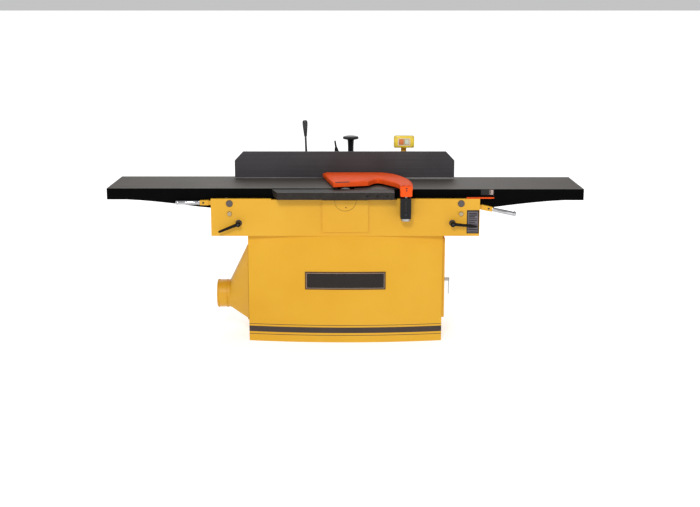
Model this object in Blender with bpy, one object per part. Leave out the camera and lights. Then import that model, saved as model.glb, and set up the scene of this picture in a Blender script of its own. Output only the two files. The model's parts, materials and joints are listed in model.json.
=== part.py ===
"""Jointer with parallelogram tables, bowed cabinet, tilting fence and swinging guard.

Metres, +Z up.  X runs along the tables (+X is the infeed side), -Y is the operator's side,
and the origin lies on the floor under the middle of the cabinet.
"""

import math

import bmesh
import bpy
from mathutils import Matrix, Vector

# Driving dimensions
TABLE_LENGTH = 2.438
TABLE_WIDTH = 0.425
TABLE_TOP = 0.805
CUT_DEPTH = 0.004
BED_LENGTH = 1.368
BED_FRONT = -0.258
BED_BACK = 0.250
BED_BOTTOM = 0.5665
BED_TOP = 0.758
BASE_LENGTH = 1.004
BASE_FRONT = -0.214
BASE_BOW = 0.041
BASE_TOP = 0.566
SHEET = 0.003
GAP = 0.0003

# Eccentric shafts that carry the tables
CRANK_RADIUS = 0.022
CRANK_ANGLE = {"outfeed": math.radians(38.0), "infeed": math.radians(25.8)}
CRANK_HEIGHT = 0.734
CRANK_OUTER = 0.589
CRANK_INNER = 0.235
JOURNAL_RADIUS = 0.012
PIN_RADIUS = 0.0105
RUNNING = 0.0006

# Cutterhead and drive
HEAD_RADIUS = 0.044
HEAD_HEIGHT = TABLE_TOP - HEAD_RADIUS
HEAD_PULLEY = 0.034
MOTOR_PULLEY = 0.055
MOTOR_X = 0.20
MOTOR_Z = 0.19
SPINDLE_RADIUS = 0.0125
BEARING_RADIUS = 0.026

# Fence
FENCE_FACE = 0.155
FENCE_THICKNESS = 0.012
FENCE_BOTTOM = 0.8075
FENCE_TOP = 0.948
FENCE_ENDS = (-0.597, 0.589)
TILT_SHAFT_Z = 0.922

# Guard pivot
GUARD_X = 0.305
GUARD_Y = -0.311

TABLE_SIDE = TABLE_WIDTH / 2
WALL = 0.022
ROUND = 32
AXES = {"X": Vector((1, 0, 0)), "Y": Vector((0, 1, 0)), "Z": Vector((0, 0, 1))}
SIDES = {"infeed": 1, "outfeed": -1}


# ---------------------------------------------------------------- tools

def clear_scene():
    for item in list(bpy.data.objects):
        bpy.data.objects.remove(item, do_unlink=True)


def finish(name, colour, metallic=0.0, roughness=0.45):
    """Principled material with one plain colour."""
    made = bpy.data.materials.get(name) or bpy.data.materials.new(name)
    made.use_nodes = True
    shader = made.node_tree.nodes["Principled BSDF"]
    shader.inputs["Base Color"].default_value = (*colour, 1.0)
    shader.inputs["Metallic"].default_value = metallic
    shader.inputs["Roughness"].default_value = roughness
    return made


def add(name, mesh, material):
    """Turns a bmesh into a named object whose faces point out."""
    bmesh.ops.recalc_face_normals(mesh, faces=mesh.faces)
    data = bpy.data.meshes.new(name)
    mesh.to_mesh(data)
    mesh.free()
    data.shade_smooth()
    data.set_sharp_from_angle(angle=math.radians(35))
    data.materials.append(material)
    made = bpy.data.objects.new(name, data)
    bpy.context.scene.collection.objects.link(made)
    return made


def loft(name, rings, material, closed=False):
    """Skins equal rings of points; the ends are capped unless the rings close on themselves."""
    mesh = bmesh.new()
    rows = [[mesh.verts.new(point) for point in ring] for ring in rings]
    pairs = list(zip(rows, rows[1:]))
    if closed:
        pairs.append((rows[-1], rows[0]))
    for low, high in pairs:
        for i in range(len(low)):
            j = (i + 1) % len(low)
            mesh.faces.new((low[i], low[j], high[j], high[i]))
    if not closed:
        mesh.faces.new(rows[0])
        mesh.faces.new(rows[-1])
    return add(name, mesh, material)


def place(axis, along, across, up):
    """Point from a distance along `axis` and two coordinates on the other axes, in X, Y, Z order."""
    order = {"X": (along, across, up), "Y": (across, along, up), "Z": (across, up, along)}
    return Vector(order[axis])


def prism(name, outline, axis, low, high, material):
    """Extrudes an outline, given in the two other axes, between two distances along `axis`."""
    return loft(name, [[place(axis, d, *p) for p in outline] for d in (low, high)], material)


def box(name, low, high, material):
    outline = [(low[1], low[2]), (high[1], low[2]), (high[1], high[2]), (low[1], high[2])]
    return prism(name, outline, "X", low[0], high[0], material)


def turned(name, profile, centre, axis, material, steps=ROUND):
    """Solid of revolution; the profile is (radius, distance) pairs from pole to pole, or a closed ring."""
    along = (AXES[axis] if isinstance(axis, str) else Vector(axis)).normalized()
    side = along.orthogonal().normalized()
    other = along.cross(side)
    mesh = bmesh.new()
    rings = []
    for radius, distance in profile:
        count = steps if radius > 0 else 1
        turns = [2 * math.pi * i / steps for i in range(count)]
        rings.append([
            mesh.verts.new(Vector(centre) + along * distance
                           + (side * math.cos(t) + other * math.sin(t)) * radius)
            for t in turns
        ])
    pairs = list(zip(rings, rings[1:]))
    if profile[0][0] > 0:
        pairs.append((rings[-1], rings[0]))
    for low, high in pairs:
        for i in range(steps):
            j = (i + 1) % steps
            corners = [low[i % len(low)], low[j % len(low)], high[j % len(high)], high[i % len(high)]]
            corners = list(dict.fromkeys(corners))
            if len(corners) > 2:
                mesh.faces.new(corners)
    return add(name, mesh, material)


def rod(name, radius, low, high, centre, axis, material, steps=ROUND):
    return turned(name, [(0, low), (radius, low), (radius, high), (0, high)], centre, axis, material, steps)


def tube(name, inner, outer, low, high, centre, axis, material, steps=ROUND):
    ring = [(inner, low), (outer, low), (outer, high), (inner, high)]
    return turned(name, ring, centre, axis, material, steps)


def arc(centre, radius, start, end, steps):
    """Points on a circle, between two angles in degrees."""
    angles = [math.radians(start + (end - start) * i / steps) for i in range(steps + 1)]
    return [(centre[0] + radius * math.cos(a), centre[1] + radius * math.sin(a)) for a in angles]


def oblong(first, second, first_radius, second_radius, steps=8):
    """Outline around two circles, with straight flanks."""
    heading = math.degrees(math.atan2(second[1] - first[1], second[0] - first[0]))
    far = arc(second, second_radius, heading - 90, heading + 90, steps)
    near = arc(first, first_radius, heading + 90, heading + 270, steps)
    return far + near


def combine(target, tools, operation):
    for tool in tools:
        tool.hide_render = True
        tool.display_type = "WIRE"
        change = target.modifiers.new(tool.name, "BOOLEAN")
        change.operation = operation
        change.solver = "EXACT"
        change.object = tool
    return target


def cut(target, *tools):
    return combine(target, tools, "DIFFERENCE")


def join(target, *tools):
    return combine(target, tools, "UNION")


def soften(target, width, segments=1):
    """Bevels the sharp edges."""
    bevel = target.modifiers.new("soft_edges", "BEVEL")
    bevel.width = width
    bevel.segments = segments
    bevel.limit_method = "ANGLE"
    bevel.angle_limit = math.radians(40)
    return target


def pivot(point, *pieces):
    """Puts the pieces' origins on their joint's axis."""
    point = Vector(point)
    for piece in pieces:
        piece.data.transform(Matrix.Translation(-point))
        piece.location = point


# ---------------------------------------------------------------- cabinet

def bow(x):
    """Depth of the cabinet's bowed front at a distance from its middle."""
    half = BASE_LENGTH / 2
    return BASE_FRONT - BASE_BOW * (1 - (x / half) ** 2)


def bowed_sheet(name, half, low, high, proud, thickness, material, steps=20):
    """Sheet that follows the cabinet's front, standing `proud` of it."""
    stations = [half * (2 * i / steps - 1) for i in range(steps + 1)]
    outer = [(x, bow(x) - proud) for x in stations]
    inner = [(x, bow(x) - proud + thickness) for x in reversed(stations)]
    return prism(name, outer + inner, "Z", low, high, material)


def cabinet():
    half = BASE_LENGTH / 2
    front = BASE_FRONT + SHEET + GAP
    back = BED_BACK - SHEET - GAP
    bowed_sheet("base_front", half, 0, BASE_TOP, 0, SHEET, YELLOW)
    right = box("base_right", (half - SHEET, front, 0), (half, back, BASE_TOP), YELLOW)
    cut(right, box("door_way", (half - 0.02, -0.16, 0.15), (half + 0.02, 0.18, 0.51), YELLOW))
    left = box("base_left", (-half, front, 0), (SHEET - half, back, BASE_TOP), YELLOW)
    cut(left, box("dust_way", (-half - 0.02, -0.14, 0.110), (0.02 - half, 0.14, 0.47), YELLOW))
    rear = box("base_back", (-half, BED_BACK - SHEET, 0), (half, BED_BACK, BASE_TOP), YELLOW)
    cut(rear, rod("shaft_way", 0.025, 0.2, 0.3, (MOTOR_X, 0, MOTOR_Z), "Y", YELLOW),
        rod("cable_way", 0.008, 0.2, 0.3, (0.42, 0, 0.30), "Y", YELLOW))
    inset = half - SHEET - GAP
    edge = [(inset * (1 - i / 10), bow(inset * (1 - i / 10)) + SHEET * 1.5) for i in range(21)]
    prism("base_floor", [(-inset, back), (inset, back)] + edge, "Z", 0, SHEET, YELLOW)
    tube("power_inlet", 0.006, 0.014, BED_BACK + GAP, BED_BACK + 0.026, (0.42, 0, 0.30), "Y", BLACK)


def dust_hood():
    """Hollow funnel from a rectangular flange to a round port."""
    flange_x = -BASE_LENGTH / 2 - GAP
    side, low, high, rim = 0.165, 0.106, 0.4965, 0.006
    centre, radius, neck, mouth = (0.0, 0.2026), 0.0738, -0.6175, -0.684
    wall = 0.0025
    steps = 32

    def section(x, share, shrink):
        """Blend between the flange's rectangle and the port's circle."""
        points = []
        for i in range(steps):
            angle = 2 * math.pi * i / steps
            c, s = math.cos(angle), math.sin(angle)
            reach = 1 / max(abs(c), abs(s))
            square = (side * c * reach, (low + high) / 2 + (high - low) / 2 * s * reach)
            circle = (centre[0] + radius * c, centre[1] + radius * s)
            y = square[0] * (1 - share) + circle[0] * share - shrink * c
            z = square[1] * (1 - share) + circle[1] * share - shrink * s
            points.append((x, y, z))
        return points

    rings = [
        section(flange_x, 0, 0), section(flange_x - rim, 0, 0), section(neck, 1, 0),
        section(mouth, 1, 0), section(mouth, 1, wall), section(neck, 1, wall),
        section(flange_x - rim, 0, wall * 1.4), section(flange_x, 0, wall * 1.4),
    ]
    loft("dust_hood", rings, YELLOW, closed=True)


def chip_chute():
    """Open trough that slopes from under the cutterhead to the dust hood."""
    top, foot, plate = (0.112, 0.558), (-0.492, 0.110), 0.003
    slope = (top[1] - foot[1]) / (top[0] - foot[0])
    outline = [foot, top, (-0.125, top[1]), (foot[0], 0.475)]
    chute = prism("chip_chute", outline, "Y", -0.136, 0.136, GREY)

    over = 0.1
    lift = math.hypot(1, slope) * plate
    low, high = foot[1] + lift - over * slope, top[1] + lift + over * slope
    hollow = [(foot[0] - over, low), (top[0] + over, high), (foot[0] - over, high)]
    cut(chute, prism("chute_hollow", hollow, "Y", -0.136 + plate, 0.136 - plate, GREY))


def access_door():
    outer, depth = BASE_LENGTH / 2 + GAP, 0.0145
    door = box("access_door", (outer, -0.19, 0.12), (outer + depth, 0.2085, 0.54), YELLOW)
    cut(door, box("door_dish", (outer - 0.01, -0.1875, 0.1225), (outer + depth - 0.0025, 0.206, 0.5375),
                  YELLOW))
    hinge_line = (0.510, 0.2145, 0)
    pivot(hinge_line, door)
    hinge = rod("door_hinge", 0.004, 0.14, 0.52, hinge_line, "Z", STEEL, 16)
    join(hinge, box("hinge_leaf", (outer, 0.212, 0.16), (0.511, 0.2435, 0.50), STEEL))
    stub = (0, -0.165, 0.3185)
    latch = rod("door_latch", 0.0085, outer + depth + GAP, 0.5435, stub, "X", STEEL, 16)
    join(latch, box("latch_bail", (0.538, -0.167, 0.240), (0.542, -0.163, 0.3185), STEEL))
    pivot((0.53, -0.165, 0.3185), latch)


# ---------------------------------------------------------------- bed

def bed():
    half = BED_LENGTH / 2
    casting = box("bed", (-half, BED_FRONT, BED_BOTTOM), (half, BED_BACK, BED_TOP), YELLOW)
    front, back, deck = BED_FRONT + WALL, BED_BACK - WALL, BED_BOTTOM + WALL
    tools = []
    for side in (-1, 1):
        bay = sorted((side * 0.14, side * (half - 0.018)))
        tools.append(box("bay", (bay[0], front, deck), (bay[1], back, BED_TOP + 0.1), YELLOW))
        end = sorted((side * (half - 0.03), side * (half + 0.01)))
        tools.append(box("end_gap", (end[0], front, 0.66), (end[1], back, BED_TOP + 0.1), YELLOW))
        swing = sorted((side * 0.60, side * (half + 0.01)))
        tools.append(box("lever_slot", (swing[0], front, BED_BOTTOM - 0.01), (swing[1], -0.2125, 0.67),
                         YELLOW))
        for x in (CRANK_OUTER, CRANK_INNER):
            # The inner bores are blind at the front; the outer shafts pass right through.
            start = BED_FRONT + 0.006 if x == CRANK_INNER else -0.3
            tools.append(rod("journal_bore", JOURNAL_RADIUS + RUNNING, start, 0.3,
                             (side * x, 0, CRANK_HEIGHT), "Y", YELLOW))
        tools.append(rod("plug_seat", 0.0184, -0.3, BED_FRONT + 0.005, (side * CRANK_OUTER, 0, CRANK_HEIGHT),
                         "Y", YELLOW))
    throat = [(-0.11, -0.185), (0.11, -0.185), (0.11, 0.205), (-0.11, 0.205)]
    tools.append(prism("throat", throat, "Z", BED_BOTTOM - 0.01, BED_TOP + 0.1, YELLOW))
    tools.append(box("middle_top", (-0.15, front, 0.66), (0.15, back, BED_TOP + 0.1), YELLOW))
    tools.append(box("arm_notch", (-0.3765, -0.3, 0.7535), (0.264, front + 0.01, BED_TOP + 0.1), YELLOW))
    tools.append(box("housing_notch", (-0.0375, back - 0.01, 0.6597), (0.0375, 0.3, BED_TOP + 0.1), YELLOW))
    cut(casting, *tools)
    pad_low, pad_high = (-0.117, BED_FRONT - 0.008, BED_BOTTOM + 0.02), (0.117, BED_FRONT + 0.01, 0.752)
    join(casting, box("centre_pad", pad_low, pad_high, YELLOW))
    seat = [(x, z) for x, z in arc((0, 0.7525), 0.0555, 180, 360, 20)] + [(0.0555, 0.77), (-0.0555, 0.77)]
    cut(casting, prism("cover_seat", seat, "Y", BED_FRONT - 0.02, BED_FRONT - 0.003, YELLOW))
    prism("arbor_cover", arc((0, 0.7525), 0.055, 180, 360, 20), "Y", BED_FRONT - 0.0085, BED_FRONT - 0.0033,
          YELLOW)


def bed_fittings():
    for side, word in ((-1, "left"), (1, "right")):
        crank = (side * CRANK_OUTER, 0, CRANK_HEIGHT)
        rod("shaft_plug_" + word, 0.0165, BED_FRONT - 0.0015, BED_FRONT + 0.0047, crank, "Y", RUBBER, 24)
        bolt = (side * CRANK_OUTER, 0, 0.682)
        head = [(0, -0.269), (0.0105, -0.269), (0.0125, -0.267),
                (0.0125, BED_FRONT - GAP), (0, BED_FRONT - GAP)]
        turned("stop_bolt_" + word, head, bolt, "Y", STEEL, 6)
    box("info_placard", (0.619, BED_FRONT - 0.0015, 0.580), (0.681, BED_FRONT - GAP, 0.700), BLACK)
    tip = [(0.617, -0.250), (0.735, -0.250), (0.757, -0.244), (0.735, -0.238), (0.617, -0.238)]
    prism("depth_pointer", tip, "Z", BED_TOP + GAP, BED_TOP + 0.006, ORANGE)
    bowed_sheet("nameplate", 0.208, 0.283, 0.377, 0.0018, 0.0015, BLACK, 12)


def lock_lever(word, x, heading, reach):
    """Collar and hub on the bed's front, with a tapered arm."""
    z = 0.634
    profile = [(0, -0.308), (0.009, -0.308), (0.0135, -0.303), (0.0135, -0.282), (0.0105, -0.279),
               (0.0105, BED_FRONT - GAP), (0, BED_FRONT - GAP)]
    lever = turned("lock_lever_" + word, profile, (x, 0, z), "Y", BLACK, 20)
    angle = math.radians(heading)
    along = (math.cos(angle), -0.05, math.sin(angle))
    arm = [(0, 0.004), (0.0085, 0.004), (0.0065, reach - 0.008), (0.0045, reach), (0, reach)]
    join(lever, turned("lock_arm_" + word, arm, (x, -0.293, z), along, BLACK, 12))
    pivot((x, BED_FRONT, z), lever)


# ---------------------------------------------------------------- tables and their shafts

def crank_pin(kind, x):
    """Axis of the eccentric pin at rest."""
    angle, side = CRANK_ANGLE[kind], SIDES[kind]
    return (side * (x + CRANK_RADIUS * math.cos(angle)), CRANK_HEIGHT + CRANK_RADIUS * math.sin(angle))


def crank_shaft(kind, x, name):
    side = SIDES[kind]
    shaft, pin = (side * x, CRANK_HEIGHT), crank_pin(kind, x)
    web = oblong(shaft, pin, 0.0165, PIN_RADIUS + 0.001)
    made = prism(name, web, "Y", -0.2248, -0.2148, STEEL)
    rear = prism(name + "_web", web, "Y", 0.2148, 0.2248, STEEL)
    journal_start = -0.2528 if x == CRANK_OUTER else -0.2515
    journal = (shaft[0], 0, shaft[1])
    join(made, rear,
         rod(name + "_pin", PIN_RADIUS, -0.22, 0.22, (pin[0], 0, pin[1]), "Y", STEEL, 24),
         rod(name + "_front", JOURNAL_RADIUS, journal_start, -0.22, journal, "Y", STEEL, 24),
         rod(name + "_back", JOURNAL_RADIUS, 0.22, 0.246, journal, "Y", STEEL, 24))
    pivot(journal, made)


def table(kind, top, lip):
    side = SIDES[kind]
    end, depth = TABLE_LENGTH / 2, 0.100
    ramp = [(end - 0.10 - 0.375 * i / 5, 0.057 + (depth - 0.062) * (i / 5) ** 1.35) for i in range(6)]
    profile = [(lip, 0), (end, 0), (end, 0.057)] + ramp
    profile += [(0.69, depth), (0.085, depth), (0.085, 0.075), (0.052, 0.040), (0.050, 0.020), (lip, 0.010)]
    outline = [(side * x, top - drop) for x, drop in profile]
    casting = prism(kind + "_table", outline, "Y", -TABLE_SIDE, TABLE_SIDE, IRON)
    tools = []
    ribs = [0.105, 0.31, 0.515, 0.72, 0.925, 1.205]
    for first, second in zip(ribs, ribs[1:]):
        span = sorted((side * (first + 0.005), side * (second - 0.005)))
        for low, high in ((-TABLE_SIDE + 0.014, -0.006), (0.006, TABLE_SIDE - 0.014)):
            tools.append(box(kind + "_pocket", (span[0], low, top - 0.15), (span[1], high, top - 0.018),
                             IRON))
    for x in (CRANK_OUTER, CRANK_INNER):
        pin = crank_pin(kind, x)
        tools.append(rod(kind + "_pin_bore", PIN_RADIUS + RUNNING, -0.3, 0.3, (pin[0], 0, pin[1]), "Y", IRON))
    cut(casting, *tools)
    pin = crank_pin(kind, CRANK_OUTER)
    pivot((pin[0], 0, pin[1]), casting)
    return casting


def height_lever(kind):
    """Arm on the outer shaft, with a round grip; level when its table is level with the head."""
    side = SIDES[kind]
    slope = CRANK_ANGLE[kind] - CRANK_ANGLE["outfeed"]
    along = Vector((side * math.cos(slope), 0, math.sin(slope)))
    up = Vector((-side * math.sin(slope), 0, math.cos(slope)))
    shaft = Vector((side * CRANK_OUTER, 0, CRANK_HEIGHT))

    def flat(reach, rise):
        point = shaft + along * reach + up * rise
        return (point.x, point.z)

    arm_outline = [flat(r, z) for r, z in ((0, -0.017), (0.12, -0.010), (0.12, 0.010), (0, 0.017))]
    arm = prism(kind + "_lever", arm_outline, "Y", -0.2333, -0.2253, YELLOW)
    tip = {"infeed": 0.166, "outfeed": 0.1535}[kind]
    socket = (0.108, -0.013), (tip, -0.012), (tip, 0.012), (0.108, 0.013)
    socket_outline = [flat(r, z) for r, z in socket]
    join(arm, rod(kind + "_lever_ring", 0.020, -0.2333, -0.2253, shaft, "Y", YELLOW, 24),
         prism(kind + "_socket", socket_outline, "Y", -0.2345, -0.2150, YELLOW))
    cut(arm, rod(kind + "_lever_bore", JOURNAL_RADIUS + GAP, -0.3, 0, shaft, "Y", YELLOW, 24))
    start = shaft + Vector((0, -0.2248, 0))
    near, far = tip + GAP, tip + 0.1246
    grip_profile = [(0, near), (0.0085, near), (0.0105, near + 0.006), (0.0110, near + 0.074),
                    (0.0105, far - 0.005), (0.008, far), (0, far)]
    grip = turned(kind + "_grip", grip_profile, start, along, CHROME, 20)
    pivot(shaft, arm, grip)


def rabbet_arm():
    top, lip = TABLE_TOP - CUT_DEPTH, -0.330
    outline = [(-0.373, -0.2133), (-0.373, -0.222), (-0.342, lip), (0.2465, lip), (0.250, -0.2133)]
    arm = prism("rabbet_arm", outline, "Z", top - 0.036, top, IRON)
    cut(arm, box("arm_relief", (-0.4, lip + 0.022, 0.7), (0.3, -0.15, top - 0.031), IRON),
        box("shaft_relief", (-0.4, -0.240, 0.7), (0.03, -0.15, top - 0.018), IRON),
        *[rod("bolt_hole", 0.0065, -0.35, -0.318, (x, 0, 0.784), "Y", IRON, 16)
          for x in (0.110, 0.161, 0.211)])
    scale_low = (0.6925, -TABLE_SIDE - 0.0013, 0.771)
    scale = box("depth_scale", scale_low, (0.7595, -TABLE_SIDE - GAP, 0.7995), STEEL)
    pin = crank_pin("infeed", CRANK_OUTER)
    pivot((pin[0], 0, pin[1]), arm, scale)


# ---------------------------------------------------------------- cutterhead and drive

def cutterhead():
    axis = (0, 0, HEAD_HEIGHT)
    s, r = SPINDLE_RADIUS, HEAD_RADIUS
    profile = [(0, -0.206), (s, -0.206), (s, -0.188), (r, -0.186),
               (r, 0.206), (s, 0.208), (s, 0.308), (0, 0.308)]
    head = turned("cutterhead", profile, axis, "Y", STEEL, 40)
    belt_low, belt_high = 0.264, 0.296
    p = HEAD_PULLEY
    pulley = [(s + GAP, belt_low - 0.003), (p + 0.003, belt_low - 0.003), (p, belt_low),
              (p, belt_high), (p + 0.003, belt_high + 0.003), (s + GAP, belt_high + 0.003)]
    driven = turned("cutterhead_pulley", pulley, axis, "Y", CAST, 32)
    pivot(axis, head, driven)

    motor_axis = (MOTOR_X, 0, MOTOR_Z)
    p = MOTOR_PULLEY
    drive = [(0, 0.205), (0.012, 0.205), (0.012, belt_low - 0.004), (p + 0.003, belt_low - 0.003),
             (p, belt_low), (p, belt_high), (p + 0.003, belt_high + 0.003), (0, belt_high + 0.004)]
    pivot(motor_axis, turned("motor_pulley", drive, motor_axis, "Y", CAST, 32))

    inner, outer = belt_loop(GAP * 2), belt_loop(0.005)
    near, far = belt_low + 0.001, belt_high - 0.001
    corners = (inner, near), (inner, far), (outer, far), (outer, near)
    loft("drive_belt", [[(x, y, z) for x, z in loop] for loop, y in corners], RUBBER, closed=True)


def belt_loop(proud, steps=16):
    """Closed line round both pulleys, `proud` of their rims."""
    head, motor = Vector((0, HEAD_HEIGHT)), Vector((MOTOR_X, MOTOR_Z))
    span = motor - head
    lean = math.degrees(math.asin((MOTOR_PULLEY - HEAD_PULLEY) / span.length))
    heading = math.degrees(math.atan2(span.y, span.x))
    wrap = 90 - lean
    near = arc(head, HEAD_PULLEY + proud, heading + 180 - wrap, heading + 180 + wrap, steps)
    far = arc(motor, MOTOR_PULLEY + proud, heading - 180 + wrap, heading + 180 - wrap, steps)
    return near + far


def bearing_block(word, low, high, bore_low, bore_high):
    """Housing with a round top on the bed, and the bearing in it."""
    axis, width = (0, 0, HEAD_HEIGHT), 0.036
    outline = [(-width, 0.660)] + [(width, 0.660)] + arc((0, HEAD_HEIGHT), width, 0, 180, 16)
    housing = prism("bearing_housing_" + word, outline, "Y", low, high, CAST)
    cut(housing, rod("bearing_seat", BEARING_RADIUS + GAP, bore_low, bore_high, axis, "Y", CAST),
        rod("spindle_way", SPINDLE_RADIUS + 0.002, low - 0.01, high + 0.01, axis, "Y", CAST))
    tube("bearing_" + word, SPINDLE_RADIUS + GAP, BEARING_RADIUS, bore_low + GAP, bore_low + 0.0145, axis,
         "Y", STEEL)


def motor():
    r, axis = 0.085, (MOTOR_X, 0, MOTOR_Z)
    profile = [(0, -0.085), (0.06, -0.085), (r - 0.008, -0.075), (r, -0.06), (r, 0.175), (r - 0.006, 0.190),
               (0.03, 0.197), (0, 0.197)]
    body = turned("motor", profile, axis, "Y", GREY, 32)
    join(body, box("terminal_box", (MOTOR_X + 0.05, 0.02, MOTOR_Z + 0.04),
                   (MOTOR_X + 0.11, 0.12, MOTOR_Z + 0.10), GREY))
    foot = [(-0.075, 0.0038), (0.075, 0.0038), (0.075, 0.0133),
            (0.05, 0.1048), (-0.05, 0.1048), (-0.075, 0.0133)]
    prism("motor_mount", [(MOTOR_X + x, z) for x, z in foot], "Y", -0.02, 0.15, CAST)


def belt_guard():
    """Dished cover over both pulleys and the belt."""
    low, high, wall = BED_BACK + GAP, 0.314, 0.0015
    head, foot = (0, HEAD_HEIGHT - 0.002), (MOTOR_X, MOTOR_Z)
    cover = prism("belt_guard", oblong(head, foot, 0.0435, 0.072, 14), "Y", low, high, YELLOW)
    cut(cover, prism("guard_hollow", oblong(head, foot, 0.0435 - wall, 0.072 - wall, 14), "Y", low - 0.01,
                     high - wall, YELLOW))


# ---------------------------------------------------------------- fence

def fence():
    left, right = FENCE_ENDS
    back = FENCE_FACE + FENCE_THICKNESS
    corner, shoulder = 0.046, FENCE_TOP - 0.0485
    face = [(left, FENCE_BOTTOM), (right, FENCE_BOTTOM), (right, shoulder), (right - corner, FENCE_TOP),
            (left + corner, FENCE_TOP), (left, shoulder)]
    plate = prism("fence", face, "Y", FENCE_FACE, back, BLACK)
    heel = [(FENCE_FACE - 0.001, FENCE_BOTTOM - 0.003), (back + 0.01, FENCE_BOTTOM - 0.003),
            (back + 0.01, FENCE_BOTTOM + 0.022)]
    cut(plate, prism("fence_heel", heel, "X", left - 0.01, right + 0.01, BLACK))
    hinge = (FENCE_FACE, FENCE_BOTTOM)
    quadrant = [(FENCE_FACE + 0.010, FENCE_BOTTOM + 0.040), (FENCE_FACE + 0.028, FENCE_BOTTOM + 0.045)]
    quadrant += arc(hinge, 0.078, 52, 25, 5) + arc(hinge, 0.115, 25, 84, 10)
    for side in (-1, 1):
        span = sorted((side * 0.1335, side * 0.1455))
        join(plate, prism("fence_quadrant", quadrant, "X", span[0], span[1], BLACK))
    pivot((0, *hinge), plate)


def fence_support():
    """Bridge bolted to the bed's back, the carriage that slides on it, and the carriage's controls."""
    bridge = [(-0.13, 0.68), (-0.11, 0.68), (-0.11, 0.808), (0.11, 0.808), (0.11, 0.68), (0.13, 0.68),
              (0.13, 0.828), (-0.13, 0.828)]
    base = prism("fence_base", bridge, "Y", BED_BACK + GAP, 0.46, CAST)
    cut(base, prism("base_gusset", [(0.30, 0.6), (0.5, 0.6), (0.5, 0.80)], "X", -0.2, 0.2, CAST))

    side = [(0.2225, 0.8085), (0.235, 0.8085), (0.235, 0.8295),
            (0.60, 0.8295), (0.60, 0.850), (0.2225, 0.850)]
    carriage = prism("fence_carriage", side, "X", -0.130, 0.130, CAST)
    ear = [(0.228, 0.840), (0.33, 0.840), (0.32, 0.90), (0.305, 0.931), (0.275, 0.931), (0.268, 0.893)]
    for sign in (-1, 1):
        span = sorted((sign * 0.118, sign * 0.131))
        cheek = sorted((sign * 0.125, sign * 0.150))
        join(carriage, prism("carriage_ear", ear, "X", span[0], span[1], CAST))
        rail = [(cheek[0], 0.808), (cheek[1], 0.808), (cheek[1], 0.846), (cheek[0], 0.846)]
        join(carriage, prism("carriage_rail", rail, "Y", 0.34, 0.595, CAST))
        slot = sorted((sign * 0.1, sign * 0.1305))
        cut(carriage, box("rail_slot", (slot[0], 0.33, 0.8), (slot[1], 0.7, 0.8295), CAST))
    join(carriage, box("head_cover", (-0.060, 0.185, 0.8086), (0.060, 0.228, 0.8116), CAST),
         rod("tilt_shaft", 0.007, -0.125, 0.125, (0, 0.290, TILT_SHAFT_Z), "X", CAST, 20),
         rod("lock_stud", 0.009, -0.236, -0.125, (0, 0.300, 0.862), "X", CAST, 20),
         rod("knob_boss", 0.020, 0.84, 0.856, (0.030, 0.335, 0), "Z", CAST, 24))
    pivot((0, 0.30, 0.8295), carriage)


def fence_controls():
    tilt = (-0.046, 0.290, TILT_SHAFT_Z)
    lever = tube("tilt_lock_lever", 0.0075, 0.0135, -0.012, 0.012, tilt, "X", BLACK, 20)
    arm = [(0, 0.009), (0.0115, 0.009), (0.0105, 0.020), (0.0088, 0.027), (0.0055, 0.036),
           (0.0045, 0.070), (0, 0.070)]
    join(lever, turned("tilt_arm", arm, tilt, (-0.16, 0, 1), BLACK, 12))
    pivot(tilt, lever)

    clamp = (-0.213, 0.300, 0.862)
    tall = tube("carriage_lock_lever", 0.0095, 0.017, -0.010, 0.010, clamp, "X", BLACK, 24)
    shank = [(0, 0.013), (0.0065, 0.013), (0.0055, 0.150), (0.0085, 0.156), (0.0095, 0.166), (0.0145, 0.215),
             (0.0145, 0.231), (0.010, 0.240), (0, 0.2425)]
    join(tall, turned("tall_shank", shank, clamp, (-0.035, 0, 1), BLACK, 20))
    pivot(clamp, tall)

    knob = [(0, 0.8565), (0.0165, 0.8565), (0.0165, 0.985), (0.030, 0.990), (0.0425, 0.996), (0.0435, 1.004),
            (0.037, 1.011), (0.020, 1.0145), (0, 1.0155)]
    centre = (0.030, 0.335, 0)
    pivot((0.030, 0.335, 0.8565), turned("carriage_knob", knob, centre, "Z", BLACK, 32))


# ---------------------------------------------------------------- switch and guard

def switch():
    low, high = (0.2675, 0.2865, 0.9515), (0.378, 0.330, 1.0165)
    centre = (low[0] + high[0]) / 2
    post = box("switch_post", (centre - 0.015, 0.3305, 0.700), (centre + 0.015, 0.3365, 1.000), YELLOW)
    foot_low, foot_high = (centre - 0.015, BED_BACK + GAP, 0.690), (centre + 0.015, 0.3365, 0.704)
    plate_low, plate_high = (centre - 0.030, BED_BACK + GAP, 0.640), (centre + 0.030, BED_BACK + 0.007, 0.720)
    join(post, box("post_foot", foot_low, foot_high, YELLOW),
         box("post_plate", plate_low, plate_high, YELLOW))
    housing = soften(box("switch_box", low, high, YELLOW), 0.008, 2)
    middle = (low[2] + high[2]) / 2
    for word, side in (("stop", -1), ("start", 1)):
        x = centre + side * 0.0145
        cut(housing, box(word + "_well", (x - 0.0125, low[1] - 0.01, middle - 0.0145),
                         (x + 0.0125, low[1] + 0.016, middle + 0.0145), YELLOW))
        button = box(word + "_button", (x - 0.0115, low[1] - 0.004, middle - 0.0135),
                     (x + 0.0115, low[1] + 0.010, middle + 0.0135), RED if word == "stop" else GREEN)
        pivot((x, low[1], middle), button)


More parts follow.
